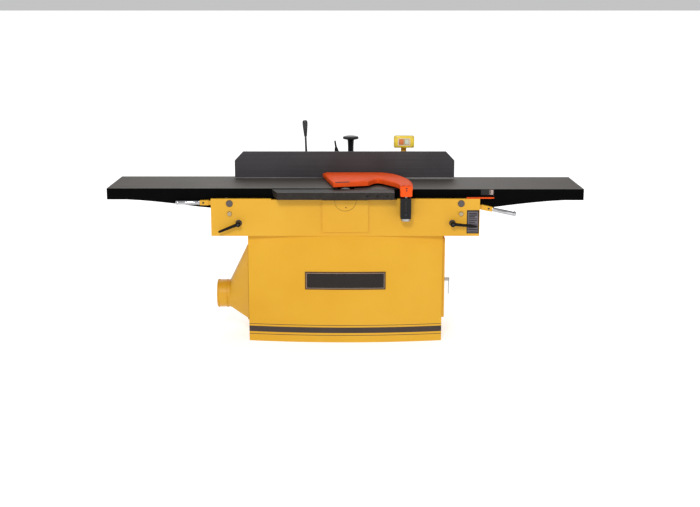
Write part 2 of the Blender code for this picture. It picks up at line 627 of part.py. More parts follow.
def guard():
    holder = box("guard_holder", (0.2775, -0.335, 0.668), (0.3305, BED_FRONT - GAP, 0.772), BLACK)
    cut(holder, rod("shaft_bore", 0.0087, 0.6, 0.8, (GUARD_X, GUARD_Y, 0), "Z", BLACK, 24))
    shaft_profile = [(0, 0.656), (0.024, 0.656), (0.024, 0.6675), (0.008, 0.6675), (0.008, 0.826), (0, 0.826)]
    shaft = turned("guard_shaft", shaft_profile, (GUARD_X, GUARD_Y, 0), "Z", STEEL, 24)

    low, high, bevel = 0.812, 0.841, 0.029
    edge = FENCE_FACE - 0.009
    front = [(-0.0615, -0.222), (0.118, -0.172), (0.162, -0.072), (0.256, -0.210), (0.272, -0.262),
             (0.2745, -0.337), (0.3365, -0.337), (0.342, -0.255), (0.326, -0.083), (0.300, 0.020)]
    bottom = front + [(0.262, 0.092), (0.205, edge), (-0.123, edge)]
    upper = front + [(0.250, 0.075), (0.198, edge - bevel), (-0.120, edge - bevel)]
    rings = [[(x, y, low) for x, y in bottom], [(x, y, high) for x, y in upper]]
    plate = loft("cutter_guard", rings, ORANGE)
    join(plate, box("guard_leg", (0.275, -0.3365, 0.7805), (0.336, -0.272, 0.83), ORANGE))
    cut(plate, rod("leg_bore", 0.0087, 0.7, 0.8265, (GUARD_X, GUARD_Y, 0), "Z", ORANGE, 24))
    pivot((GUARD_X, GUARD_Y, 0.80), shaft, plate)


clear_scene()
YELLOW = finish("yellow_enamel", (0.84, 0.45, 0.04))
IRON = finish("cast_table_iron", (0.03, 0.03, 0.03), 0.6, 0.4)
CAST = finish("painted_casting", (0.05, 0.05, 0.05), 0.2, 0.5)
GREY = finish("grey_enamel", (0.25, 0.26, 0.27))
STEEL = finish("bright_steel", (0.6, 0.6, 0.6), 1.0, 0.3)
CHROME = finish("chrome_plate", (0.8, 0.8, 0.8), 1.0, 0.1)
BLACK = finish("black_plastic", (0.02, 0.02, 0.02))
RUBBER = finish("rubber", (0.03, 0.03, 0.03), 0.0, 0.8)
ORANGE = finish("orange_plastic", (0.85, 0.12, 0.03))
RED = finish("red_button", (0.6, 0.05, 0.04))
GREEN = finish("green_button", (0.05, 0.4, 0.12))

cabinet()
dust_hood()
chip_chute()
access_door()
bed()
bed_fittings()
lock_lever("left", -0.543, 201.7, 0.108)
lock_lever("right", 0.5455, -5.2, 0.124)
table("infeed", TABLE_TOP - CUT_DEPTH, 0.0455)
table("outfeed", TABLE_TOP, 0.038)
for table_kind in SIDES:
    crank_shaft(table_kind, CRANK_OUTER, table_kind + "_shaft")
    crank_shaft(table_kind, CRANK_INNER, table_kind + "_inner_shaft")
    height_lever(table_kind)
rabbet_arm()
cutterhead()
bearing_block("front", -0.2115, -0.1915, -0.2065, -0.19)
bearing_block("rear", 0.2145, 0.2495, 0.2215, 0.26)
motor()
belt_guard()
fence()
fence_support()
fence_controls()
switch()
guard()
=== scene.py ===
"""Looks of the jointer: camera, studio, procedural materials and the fine pieces on the CAD frame."""

import json
import math

import bmesh
import bpy
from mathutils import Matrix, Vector


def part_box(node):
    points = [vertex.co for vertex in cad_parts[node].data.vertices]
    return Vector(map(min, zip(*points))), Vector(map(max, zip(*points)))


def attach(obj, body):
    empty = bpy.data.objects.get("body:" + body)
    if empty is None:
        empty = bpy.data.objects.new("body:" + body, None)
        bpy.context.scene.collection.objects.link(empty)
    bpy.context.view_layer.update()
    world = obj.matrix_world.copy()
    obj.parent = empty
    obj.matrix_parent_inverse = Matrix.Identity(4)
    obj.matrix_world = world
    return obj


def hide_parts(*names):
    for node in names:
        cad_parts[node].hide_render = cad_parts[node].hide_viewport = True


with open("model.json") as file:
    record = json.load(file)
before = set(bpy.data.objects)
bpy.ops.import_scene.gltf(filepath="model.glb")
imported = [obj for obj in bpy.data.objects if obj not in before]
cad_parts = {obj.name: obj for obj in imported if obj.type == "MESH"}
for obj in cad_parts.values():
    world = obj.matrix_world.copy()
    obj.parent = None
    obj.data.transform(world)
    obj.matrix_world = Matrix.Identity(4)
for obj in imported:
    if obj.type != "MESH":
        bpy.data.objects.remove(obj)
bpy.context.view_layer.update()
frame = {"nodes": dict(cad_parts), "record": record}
NODES = frame["nodes"]
JOINTS = {joint["name"]: joint for joint in frame["record"]["behaviour"]["joints"]}

# Directions in the shared frame; the operator stands at the front, the infeed end is on the right.
FRONT, BACK = (0, -1, 0), (0, 1, 0)
LEFT, RIGHT = (-1, 0, 0), (1, 0, 0)
UP = (0, 0, 1)

# Heights of the painted stripes above the floor
STRIPE_BAND = (0.0505, 0.0805)
STRIPE_LINES = ((0.0365, 0.0395), (0.0900, 0.0930))

# Places shared by several fine pieces, read from the CAD nodes
BED_LOW, BED_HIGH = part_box("bed")
PAD_FRONT = BED_LOW.y
BED_FRONT = PAD_FRONT + 0.008
BED_BACK = BED_HIGH.y
BASE_LOW, BASE_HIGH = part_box("base_front")
HEAD_AXIS = Vector(JOINTS["cutter_spin"]["pos_m"])
HEAD_RADIUS = 0.044
PLATE_LOW, PLATE_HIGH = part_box("nameplate")
PLACARD_LOW, PLACARD_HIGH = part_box("info_placard")
PROUD = 0.0002


# ---------------------------------------------------------------- shader tools

class Shader:
    """Short calls for one material's node tree."""

    def __init__(self, name):
        self.material = bpy.data.materials.new(name)
        self.material.use_nodes = True
        self.tree = self.material.node_tree
        self.surface = self.tree.nodes["Principled BSDF"]
        self.coordinates = self.tree.nodes.new("ShaderNodeTexCoord").outputs["Object"]

    def node(self, kind, **inputs):
        made = self.tree.nodes.new("ShaderNode" + kind)
        for name, value in inputs.items():
            self.feed(made.inputs[name.replace("_", " ")], value)
        return made

    def feed(self, socket, value):
        if isinstance(value, bpy.types.NodeSocket):
            self.tree.links.new(value, socket)
        else:
            socket.default_value = value

    def set(self, **values):
        for name, value in values.items():
            self.feed(self.surface.inputs[name.replace("_", " ")], value)
        return self

    def stretched(self, scale):
        mapping = self.node("Mapping", Vector=self.coordinates, Scale=scale)
        return mapping.outputs["Vector"]

    def noise(self, scale, detail=4.0, roughness=0.55, vector=None):
        made = self.node("TexNoise", Vector=vector or self.coordinates, Scale=scale, Detail=detail,
                         Roughness=roughness)
        return made.outputs["Fac"]

    def band(self, value, low, high, start=0.0, end=1.0):
        """Maps low..high to start..end and holds it beyond."""
        made = self.tree.nodes.new("ShaderNodeMapRange")
        for index, entry in enumerate((value, low, high, start, end)):
            self.feed(made.inputs[index], entry)
        return made.outputs["Result"]

    def math(self, operation, first, second=0.0):
        made = self.tree.nodes.new("ShaderNodeMath")
        made.operation = operation
        self.feed(made.inputs[0], first)
        self.feed(made.inputs[1], second)
        return made.outputs[0]

    def mix(self, share, first, second):
        made = self.tree.nodes.new("ShaderNodeMix")
        made.data_type = "RGBA"
        self.feed(made.inputs[0], share)
        self.feed(made.inputs[6], first)
        self.feed(made.inputs[7], second)
        return made.outputs[2]

    def axis(self, index, vector=None):
        return self.node("SeparateXYZ", Vector=vector or self.coordinates).outputs[index]

    def bump(self, height, distance, strength=1.0, under=None):
        made = self.node("Bump", Height=height, Distance=distance, Strength=strength)
        if under:
            self.feed(made.inputs["Normal"], under)
        return made.outputs["Normal"]

    def within(self, value, low, high, blur=0.0004):
        rise = self.band(value, low - blur, low + blur)
        fall = self.band(value, high - blur, high + blur, 1.0, 0.0)
        return self.math("MULTIPLY", rise, fall)


def linear(*srgb):
    """sRGB 0..255 to the linear colour that shaders take."""
    scaled = [c / 255 for c in srgb]
    return (*[c / 12.92 if c <= 0.04045 else ((c + 0.055) / 1.055) ** 2.4 for c in scaled], 1.0)


def darker(colour, share):
    return (*[c * (1 - share) for c in colour[:3]], 1.0)


YELLOW = linear(215, 163, 37)
YELLOW_DEEP = linear(210, 155, 26)
INK = linear(60, 50, 46)


def enamel(name, cast, stripes=False):
    """Yellow machine enamel; `cast` gives the waves of a filled casting, else flat sheet."""
    s = Shader(name)
    tint = s.mix(s.band(s.noise(2.2, 3.0), 0.35, 0.65), YELLOW_DEEP, YELLOW)
    dust = s.noise(160.0, 5.0)
    tint = s.mix(s.band(dust, 0.62, 0.80, 0.0, 0.12), tint, linear(170, 118, 40))
    low, high = (0.54, 0.66) if stripes else (0.40, 0.52)
    rough = s.band(s.noise(14.0, 5.0), 0.3, 0.7, low, high)
    normal = s.bump(s.noise(420.0 if cast else 650.0, 2.0), 0.00012 if cast else 0.00006, 0.6)
    normal = s.bump(s.noise(24.0 if cast else 7.0, 3.0), 0.0010 if cast else 0.0004, 0.3, normal)
    if stripes:
        height = s.axis(2)
        mask = s.within(height, *STRIPE_BAND)
        for line in STRIPE_LINES:
            mask = s.math("MAXIMUM", mask, s.within(height, *line))
        tint = s.mix(mask, tint, INK)
        rough = s.math("ADD", rough, s.math("MULTIPLY", mask, 0.1))
    return s.set(Base_Color=tint, Roughness=rough, Normal=normal, Specular_IOR_Level=0.35,
                 Coat_Weight=0.0 if stripes else 0.08, Coat_Roughness=0.30).material


def ground_iron(name, dull, bright):
    """Table top ground grey, with fine lengthwise grinding lines and faint stains."""
    s = Shader(name)
    lines = s.noise(1.0, 6.0, 0.7, s.stretched((3.0, 900.0, 60.0)))
    ground = s.mix(s.band(lines, 0.3, 0.7), dull, bright)
    ground = s.mix(s.band(s.noise(5.0, 5.0, 0.6), 0.35, 0.75, 0.0, 0.45), ground, darker(dull, 0.2))
    blotch = s.noise(40.0, 6.0, 0.6, s.stretched((0.3, 12.0, 1.0)))
    normal = s.bump(lines, 0.00004, 0.4)
    return s.set(Base_Color=ground, Roughness=s.band(blotch, 0.3, 0.7, 0.52, 0.64), Metallic=0.15,
                 Normal=normal, Specular_IOR_Level=0.3).material


def casting_paint(name, shade, rough=(0.5, 0.65), level=0.12, grit=0.0004):
    """Dark paint over a sand-cast skin."""
    s = Shader(name)
    tint = s.mix(s.band(s.noise(60.0), 0.4, 0.7), darker(shade, 0.35), shade)
    tint = s.mix(s.band(s.noise(6.0, 5.0), 0.45, 0.75, 0.0, 0.5), tint, darker(shade, 0.5))
    normal = s.bump(s.noise(900.0, 3.0), grit * 0.3, 0.5)
    normal = s.bump(s.noise(180.0, 4.0), grit, 0.3, normal)
    return s.set(Base_Color=tint, Roughness=s.band(s.noise(30.0), 0.3, 0.7, *rough), Normal=normal,
                 Specular_IOR_Level=level).material


def fence_iron(name):
    """Milled fence with a satin dark finish and lengthwise lines."""
    s = Shader(name)
    lines = s.noise(1.0, 6.0, 0.65, s.stretched((2.0, 80.0, 500.0)))
    tint = s.mix(s.band(lines, 0.3, 0.7), linear(58, 56, 58), linear(72, 69, 72))
    tint = s.mix(s.band(s.noise(4.0, 5.0), 0.4, 0.7, 0.0, 0.5), tint, linear(46, 44, 46))
    return s.set(Base_Color=tint, Roughness=s.band(s.noise(20.0, 5.0), 0.3, 0.7, 0.42, 0.54), Metallic=0.2,
                 Normal=s.bump(lines, 0.00004, 0.4), Specular_IOR_Level=0.25).material


def plastic(name, colour, rough=0.4, grain=0.00012, coat=0.0, level=0.35):
    """Moulded plastic with a fine spark-eroded grain."""
    s = Shader(name)
    tint = s.mix(s.band(s.noise(30.0, 3.0), 0.3, 0.7), darker(colour, 0.12), colour)
    scuffs = s.noise(1.0, 5.0, 0.7, s.stretched((40.0, 260.0, 40.0)))
    tint = s.mix(s.band(scuffs, 0.66, 0.80, 0.0, 0.18), tint, darker(colour, 0.35))
    fine = s.noise(1400.0, 2.0)
    return s.set(Base_Color=tint, Roughness=s.band(s.noise(90.0, 4.0), 0.3, 0.7, rough - 0.05, rough + 0.07),
                 Normal=s.bump(fine, grain, 0.5), Coat_Weight=coat, Coat_Roughness=0.2,
                 Specular_IOR_Level=level).material


def metal(name, colour, low, high, stretch=(600.0, 8.0, 8.0), wear=0.25):
    """Turned or brushed bare metal."""
    s = Shader(name)
    lines = s.noise(1.0, 5.0, 0.6, s.stretched(stretch))
    tint = s.mix(s.band(lines, 0.3, 0.7), darker(colour, wear), colour)
    return s.set(Base_Color=tint, Metallic=1.0, Roughness=s.band(lines, 0.25, 0.75, low, high),
                 Normal=s.bump(lines, 0.00003, 0.35)).material


def tall_lever(name, height):
    """Blackened shank below `height`, glossy moulded grip above it."""
    s = Shader(name)
    grip = s.band(s.axis(2), height - 0.0005, height + 0.0005)
    lines = s.noise(1.0, 5.0, 0.6, s.stretched((8.0, 8.0, 500.0)))
    shank = s.mix(s.band(lines, 0.3, 0.7), linear(40, 40, 42), linear(74, 74, 76))
    tint = s.mix(grip, shank, linear(22, 22, 23))
    rough = s.band(grip, 0.0, 1.0, 0.38, 0.22)
    return s.set(Base_Color=tint, Roughness=rough, Metallic=s.band(grip, 0.0, 1.0, 0.8, 0.0),
                 Normal=s.bump(s.noise(900.0, 2.0), 0.00005, 0.4)).material


MATERIALS = {
    "cast": enamel("yellow_casting", True),
    "sheet": enamel("yellow_sheet", False),
    "striped": enamel("yellow_striped_sheet", False, True),
    "ground": ground_iron("ground_table_top", linear(64, 60, 55), linear(92, 86, 80)),
    "arm_top": ground_iron("ground_arm_top", linear(34, 31, 30), linear(50, 46, 44)),
    "table_paint": casting_paint("table_casting_paint", linear(5, 5, 5), level=0.03),
    "arm_paint": casting_paint("arm_casting_paint", linear(48, 43, 39), (0.45, 0.6), 0.15),
    "fence": fence_iron("fence_iron"),
    "casting": casting_paint("black_casting", linear(44, 42, 42), (0.42, 0.58), 0.3),
    "grey": plastic("grey_paint", linear(120, 122, 124), 0.42, 0.0002),
    "black": plastic("black_plastic", linear(18, 18, 21), 0.34, 0.00012, level=0.22),
    "lever": plastic("black_lever_grip", linear(12, 9, 9), 0.36, 0.00010, level=0.15),
    "tall": tall_lever("tall_lever_finish", 1.016),
    "matt": plastic("matt_black", linear(38, 34, 32), 0.6, 0.0002, level=0.2),
    "plug": plastic("dark_plug", linear(88, 80, 78), 0.5, 0.0002),
    "orange": plastic("orange_plastic", linear(236, 84, 24), 0.55, 0.0001, 0.0, 0.10),
    "red": plastic("red_button", linear(230, 124, 66), 0.3),
    "green": plastic("green_button", linear(214, 222, 204), 0.3),
    "steel": metal("turned_steel", (0.44, 0.43, 0.42, 1), 0.26, 0.42),
    "chrome": metal("chrome_plate", (0.50, 0.50, 0.52, 1), 0.10, 0.20, (40.0, 8.0, 8.0), 0.10),
    "zinc": metal("zinc_plate", (0.46, 0.38, 0.24, 1), 0.30, 0.45),
    "carbide": metal("carbide_insert", (0.45, 0.45, 0.47, 1), 0.15, 0.3, (90.0, 90.0, 90.0)),
    "oxide": metal("black_oxide_screw", (0.06, 0.06, 0.065, 1), 0.35, 0.5, (300.0, 300.0, 30.0), 0.4),
    "rubber": plastic("belt_rubber", linear(30, 30, 30), 0.7, 0.0003, level=0.15),
    "label": plastic("label_grey", linear(104, 98, 106), 0.45, 0.00002),
    "lemon": plastic("lemon_switch_box", linear(246, 214, 62), 0.42, 0.0001, 0.0, 0.3),
    "pale": plastic("pale_switch_plate", linear(240, 212, 200), 0.4, 0.00004),
    "gold": plastic("plate_line", linear(196, 170, 150), 0.4, 0.00002),
    "brown": plastic("plate_border", linear(86, 54, 22), 0.4, 0.00002),
    # Near-black for print and joint lines, and also painted shade for the slots, vents and the arm's screw
    # holes.
    "print_and_shade": plastic("printed_ink_and_painted_shade", linear(22, 20, 20), 0.5, 0.00002),
}

FINISHES = {
    "cast": "bed arbor_cover infeed_lever outfeed_lever",
    "sheet": "base_left base_right base_back base_floor dust_hood access_door belt_guard switch_post",
    "lemon": "switch_box",
    "striped": "base_front",
    "fence": "fence",
    "casting": "fence_base fence_carriage motor_mount cutterhead_pulley motor_pulley bearing_housing_front "
               "bearing_housing_rear",
    "grey": "chip_chute motor",
    "black": "power_inlet carriage_knob guard_holder",
    "lever": "lock_lever_left lock_lever_right tilt_lock_lever",
    "tall": "carriage_lock_lever",
    "matt": "nameplate info_placard",
    "plug": "shaft_plug_left shaft_plug_right",
    "orange": "cutter_guard depth_pointer",
    "red": "stop_button",
    "green": "start_button",
    "steel": "bearing_front bearing_rear cutterhead door_hinge door_latch guard_shaft infeed_shaft "
             "outfeed_shaft infeed_inner_shaft outfeed_inner_shaft",
    "print_and_shade": "depth_scale",
    "zinc": "stop_bolt_left stop_bolt_right",
    "chrome": "infeed_grip outfeed_grip",
    "rubber": "drive_belt",
}
GROUND_TOPS = {"infeed_table": ("table_paint", "ground"), "outfeed_table": ("table_paint", "ground"),
               "rabbet_arm": ("arm_paint", "arm_top")}


def dress_frame():
    """Gives every CAD node its material, and the ground tops a second one on their top faces."""
    for key, names in FINISHES.items():
        for name in names.split():
            data = NODES[name].data
            data.materials.clear()
            data.materials.append(MATERIALS[key])
    for name, keys in GROUND_TOPS.items():
        data = NODES[name].data
        data.materials.clear()
        for key in keys:
            data.materials.append(MATERIALS[key])
        top = max(vertex.co.z for vertex in data.vertices)
        for face in data.polygons:
            face.material_index = int(face.normal.z > 0.9 and face.center.z > top - 0.001)


CREASE_ANGLE = math.radians(32)

# Bevel widths that take the razor edges off the CAD nodes
EDGES = {
    0.0024: "bed", 0.0012: "infeed_table outfeed_table fence arbor_cover",
    0.0025: "rabbet_arm guard_holder fence_carriage fence_base bearing_housing_front bearing_housing_rear",
    0.0020: "access_door infeed_lever outfeed_lever motor motor_mount stop_button start_button belt_guard",
    0.0010: "lock_lever_left lock_lever_right tilt_lock_lever carriage_lock_lever switch_post "
            "stop_bolt_left stop_bolt_right shaft_plug_left shaft_plug_right dust_hood door_latch "
            "cutterhead_pulley motor_pulley",
}


def round_edges(item, width, segments=2, angle=38):
    bevel = item.modifiers.new("edges", "BEVEL")
    bevel.width = width
    bevel.segments = segments
    bevel.limit_method = "ANGLE"
    bevel.angle_limit = math.radians(angle)
    bevel.use_clamp_overlap = True
    bevel.harden_normals = True


def soften_frame():
    """Smooth curves, crisp flats and small bevels on the CAD nodes, all by modifiers."""
    rounded_names = " ".join(EDGES.values()).split()
    for name, item in NODES.items():
        item.data.shade_smooth()
        item.data.set_sharp_from_angle(angle=CREASE_ANGLE)
        weld = item.modifiers.new("weld", "WELD")
        weld.merge_threshold = 0.00002
        if name not in rounded_names:
            # The weld loses the sharp marks, so the flat faces are parted from each other again.
            creases = item.modifiers.new("creases", "EDGE_SPLIT")
            creases.split_angle = CREASE_ANGLE
    for width, names in EDGES.items():
        for name in names.split():
            flatten = NODES[name].modifiers.new("flat_faces", "DECIMATE")
            flatten.decimate_type = "DISSOLVE"
            flatten.angle_limit = math.radians(0.5)
            flatten.delimit = {"MATERIAL", "SHARP"}
            round_edges(NODES[name], width)
            even = NODES[name].modifiers.new("flat_shading", "WEIGHTED_NORMAL")
            even.keep_sharp = True


# ---------------------------------------------------------------- piece tools

def piece(name, mesh, material, body, edge=0.0, segments=2, angle=38):
    """Turns a bmesh into a piece that rides on a body."""
    bmesh.ops.recalc_face_normals(mesh, faces=mesh.faces)
    data = bpy.data.meshes.new(name)
    mesh.to_mesh(data)
    mesh.free()
    data.shade_smooth()
    data.set_sharp_from_angle(angle=math.radians(35))
    data.materials.append(MATERIALS[material])
    made = bpy.data.objects.new(name, data)
    bpy.context.scene.collection.objects.link(made)
    if edge:
        round_edges(made, edge, segments, angle)
    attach(made, body)
    return made


def skin(mesh, rings, closed=False):
    """Adds a tube through equal rings of points, capped at both ends unless it closes on itself."""
    rows = [[mesh.verts.new(point) for point in ring] for ring in rings]
    pairs = list(zip(rows, rows[1:]))
    if closed:
        pairs.append((rows[-1], rows[0]))
    for low, high in pairs:
        for i in range(len(low)):
            j = (i + 1) % len(low)
            mesh.faces.new((low[i], low[j], high[j], high[i]))
    if not closed:
        mesh.faces.new(rows[0])
        mesh.faces.new(rows[-1])


def axes_along(direction):
    """Turn that takes +Z to `direction`."""
    return Vector(direction).normalized().to_track_quat("Z", "Y").to_matrix()


def lathe(mesh, profile, centre, direction, steps=32, turn=0.0):
    """Adds a turned solid; the profile is (radius, distance) pairs, capped at both ends."""
    facing = axes_along(direction)
    rings = []
    for radius, distance in profile:
        ring = []
        for i in range(steps):
            angle = 2 * math.pi * i / steps + turn
            ring.append(Vector(centre) + facing @ Vector((radius * math.cos(angle), radius * math.sin(angle),
                                                          distance)))
        rings.append(ring)
    skin(mesh, rings)


def block(mesh, low, high):
    corners = [(low[0], low[1]), (high[0], low[1]), (high[0], high[1]), (low[0], high[1])]
    skin(mesh, [[(x, y, z) for x, y in corners] for z in (low[2], high[2])])


def rounded(low, high, radius, z, steps=6):
    """Ring of a rectangle with round corners, lying flat at height z."""
    ring = []
    corners = ((high[0], high[1], 0), (low[0], high[1], 90), (low[0], low[1], 180), (high[0], low[1], 270))
    for x, y, start in corners:
        centre_x = x - radius if start in (0, 270) else x + radius
        centre_y = y - radius if start in (0, 90) else y + radius
        for i in range(steps + 1):
            angle = math.radians(start + 90 * i / steps)
            ring.append((centre_x + radius * math.cos(angle), centre_y + radius * math.sin(angle), z))
    return ring


def socket_screw(mesh, centre, direction, radius, height, steps=24):
    """Cap screw: round head with a hexagon socket sunk in it."""
    facing = axes_along(direction)
    rim, hex_radius = radius * 0.92, radius * 0.52
    angles = [2 * math.pi * i / steps for i in range(steps)]
    rings = []
    for size, distance in ((radius, 0), (radius, height * 0.85), (rim, height)):
        rings.append([Vector((size * math.cos(a), size * math.sin(a), distance)) for a in angles])
    for distance in (height, height * 0.4):
        ring = []
        for angle in angles:
            local = (angle % (math.pi / 3)) - math.pi / 6
            size = hex_radius * math.cos(math.pi / 6) / math.cos(local)
            ring.append(Vector((size * math.cos(angle), size * math.sin(angle), distance)))
        rings.append(ring)
    skin(mesh, [[Vector(centre) + facing @ point for point in ring] for ring in rings])


def hex_bolt(mesh, centre, direction, radius, height):
    """Hexagon head on a washer."""
    lathe(mesh, [(radius * 1.35, 0), (radius * 1.35, height * 0.22)], centre, direction, 24)
    head = [(radius, height * 0.23), (radius, height * 0.9), (radius * 0.86, height)]
    lathe(mesh, head, centre, direction, 6)


def fasteners(name, kind, places, direction, radius, height, body, material="oxide"):
    mesh = bmesh.new()
    for centre in places:
        kind(mesh, centre, direction, radius, height)
    return piece(name, mesh, material, body)


def smooth_line(points, steps):
    """Catmull-Rom curve through 2-D points."""
    last = len(points) - 1
    out = []
    for i in range(last):
        quad = [points[min(max(i + k, 0), last)] for k in (-1, 0, 1, 2)]
        for j in range(steps):
            t = j / steps
            weights = (-t + 2 * t * t - t ** 3, 2 - 5 * t * t + 3 * t ** 3, t + 4 * t * t - 3 * t ** 3,
                       t ** 3 - t * t)
            out.append(tuple(sum(w * p[axis] for w, p in zip(weights, quad)) / 2 for axis in (0, 1)))
    out.append(points[-1])
    return out


def bow(x):
    """Front of the cabinet at a distance from its middle, from the front sheet's own box."""
    depth = 0.041
    return BASE_LOW.y + depth * (x / BASE_HIGH.x) ** 2


# ---------------------------------------------------------------- guard and rabbet arm

def inset(outline, distance):
    """Outline moved inwards by a distance, its corners mitred."""
    count = len(outline)
    turning = sum(outline[i - 1][0] * outline[i][1] - outline[i][0] * outline[i - 1][1] for i in range(count))
    inward = 1 if turning > 0 else -1
    moved = []
    for i in range(count):
        here = Vector(outline[i])
        before = (here - Vector(outline[i - 1])).normalized()
        after = (Vector(outline[(i + 1) % count]) - here).normalized()
        first, second = Vector((-before.y, before.x)), Vector((-after.y, after.x))
        mitre = (first + second).normalized()
        moved.append(here + mitre * inward * distance / max(mitre.dot(first), 0.5))
    return moved


def guard_pieces():
    """Moulded guard: upright rim, shoulders that rise to a flat crown, a long slot in painted shade and a
    screwed leg.
    """
    low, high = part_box("cutter_guard")
    floor, crown = 0.8125, high.z - 0.0003
    fence_side = high.y - 0.0005
    neck = smooth_line([(0.116, -0.1725), (0.133, -0.140), (0.150, -0.104), (0.168, -0.090),
                        (0.190, -0.106), (0.222, -0.158), (0.250, -0.206), (0.266, -0.246),
                        (0.2745, -0.290), (0.2750, -0.3362)], 5)
    heel = smooth_line([(0.3362, -0.3362), (0.3400, -0.290), (0.3412, -0.240), (0.3370, -0.160),
                        (0.3260, -0.083), (0.3000, 0.010), (0.2600, 0.085), (0.2050, fence_side - 0.012)], 5)
    outline = [(-0.0605, -0.2215)] + neck + heel + [(0.190, fence_side), (-0.1215, fence_side)]
    mesh = bmesh.new()
    rings = [[(x, y, floor) for x, y in outline]]
    # Distance in from the outline, and drop below the crown
    section = ((0.0, 0.0098), (0.0006, 0.0084), (0.0018, 0.0070), (0.0100, 0.0036), (0.0175, 0.0010),
               (0.0215, 0.0))
    for distance, drop in section:
        # The back edge leans away at 45 degrees, clear of the tilted fence.
        back = fence_side - (crown - drop - floor) - 0.0006
        rings.append([(p[0], min(p[1], back), crown - drop) for p in inset(outline, distance)])
    skin(mesh, rings)
    shell = piece("guard_shell", mesh, "orange", "guard")
    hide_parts("cutter_guard")

    # Slot moulded into the sloping rim, just above the front wall, drawn as a thin dark sheet: painted shade
    # standing in for the slot's hollow.
    slot = bmesh.new()
    first, last = Vector(outline[0]), Vector(outline[1])
    along = (last - first).normalized()
    inward = Vector((-along.y, along.x))
    rings = []
    for lift in (-0.0006, 0.0006):
        ring = []
        corners = ((0.009, 0.0018, 0.0070), (0.084, 0.0018, 0.0070), (0.087, 0.0096, 0.0038),
                   (0.012, 0.0096, 0.0038))
        for reach, depth, drop in corners:
            spot = first + along * reach + inward * depth
            ring.append((spot.x, spot.y, crown - drop + lift))
        rings.append(ring)
    skin(slot, rings)
    piece("guard_slot_painted_shade", slot, "print_and_shade", "guard")

    leg = bmesh.new()
    rings = []
    # Growth on every side, depth from the front and height
    stations = ((-0.0040, 0.030, low.z), (-0.0012, 0.034, low.z + 0.0018), (0, 0.036, low.z + 0.006),
                (0, 0.050, 0.8180), (-0.0010, 0.056, 0.8262), (-0.0030, 0.060, 0.8300))
    for grow, reach, z in stations:
        rings.append(rounded((0.2755 - grow, low.y - grow), (0.3360 + grow, low.y + reach + grow), 0.008, z))
    skin(leg, rings)
    piece("guard_leg", leg, "orange", "guard")
    places = [(0.3070, low.y + PROUD, z) for z in (0.8235, 0.8125)]
    fasteners("guard_leg_screws", socket_screw, places, FRONT, 0.0034, 0.0016, "guard")


def arm_pieces():
    """Bolts of the rabbeting arm, the half-round cover's screw and seam, and the guard holder's details."""
    # Matt near-black cap screws set nearly flush: dark screws, darkened further as painted shade of their
    # counterbored holes.
    places = [(x, -0.3185, 0.784) for x in (0.110, 0.161, 0.211)]
    fasteners("arm_bolts_and_hole_shade", socket_screw, places, FRONT, 0.0060, 0.0100, "infeed_table", "print_and_shade")
    cover_screw = (0.003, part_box("arbor_cover")[0].y - PROUD, 0.715)
    fasteners("arbor_cover_screw", socket_screw, [cover_screw], FRONT, 0.0030, 0.0012, "frame")
    seam = bmesh.new()
    seam_centre, inner, outer = 0.7525, 0.0551, 0.0562
    front, steps = BED_FRONT - 0.0082, 32
    back = front + 0.0016
    angles = [math.pi * (1 + i / steps) for i in range(steps + 1)]
    arcs = []
    for radius, y in ((inner, front), (outer, front), (outer, back), (inner, back)):
        arcs.append([(radius * math.cos(a), y, seam_centre + radius * math.sin(a)) for a in angles])
    skin(seam, [list(ring) for ring in zip(*arcs)])
    piece("arbor_cover_seam", seam, "print_and_shade", "frame")
    low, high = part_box("guard_holder")
    middle = (low.x + high.x) / 2
    holder_screw = (middle, low.y - PROUD, 0.690)
    fasteners("guard_holder_screw", socket_screw, [holder_screw], FRONT, 0.0065, 0.003, "frame")
    rib = bmesh.new()
    block(rib, (middle - 0.006, low.y - 0.0012, 0.704), (middle + 0.006, low.y + 0.002, 0.762))
    piece("guard_holder_rib", rib, "matt", "frame", 0.0008)


# ---------------------------------------------------------------- plates

def bowed_frame(mesh, half, low, high, width, proud):
    """Rectangular border that follows the cabinet's bow."""
    steps = 24
    stations = [half * (2 * i / steps - 1) for i in range(steps + 1)]
    plate = 0.0018
    for bottom in (low, high - width):
        section = ((proud, bottom), (proud, bottom + width), (0, bottom + width), (0, bottom))
        skin(mesh, [[(x, bow(x) - plate - depth, z) for depth, z in section] for x in stations])
    for x in (-half, half - width):
        section = ((proud, 0), (proud, width), (0, width), (0, 0))
        skin(mesh, [[(x + dx, bow(x) - plate - depth, z) for depth, dx in section]
                    for z in (low + width, high - width)])


def nameplate_pieces():
    """Brown outer border and a fine pale line inside it; the middle is left blank."""
    half = PLATE_HIGH.x
    proud = 0.0003
    borders = (("border", 0.0003, 0.0050, "brown"), ("line", 0.0072, 0.0013, "gold"))
    for name, margin, width, finish in borders:
        mesh = bmesh.new()
        bowed_frame(mesh, half - margin, PLATE_LOW.z + margin, PLATE_HIGH.z - margin, width, proud)
        piece("nameplate_" + name, mesh, finish, "frame")


def placard_pieces():
    """Grey printed panel with plain bars."""
    front = PLACARD_LOW.y
    panel = bmesh.new()
    block(panel, (PLACARD_LOW.x + 0.005, front - 0.0003, PLACARD_LOW.z + 0.006),
          (PLACARD_HIGH.x - 0.006, front + 0.0002, PLACARD_HIGH.z - 0.007))
    piece("placard_panel", panel, "label", "frame", 0.0001)
    bars = bmesh.new()
    left, right = PLACARD_LOW.x + 0.009, PLACARD_HIGH.x - 0.010
    rows, first_row, pitch = 11, PLACARD_HIGH.z - 0.016, 0.0092
    for i in range(rows):
        z = first_row - i * pitch
        end = right - 0.010 * (i % 3 == 2)
        block(bars, (left, front - 0.0005, z - 0.0024), (end, front - 0.0002, z + 0.0018 * (1 + (i < 3))))
    piece("placard_bars", bars, "print_and_shade", "frame", 0.0001)


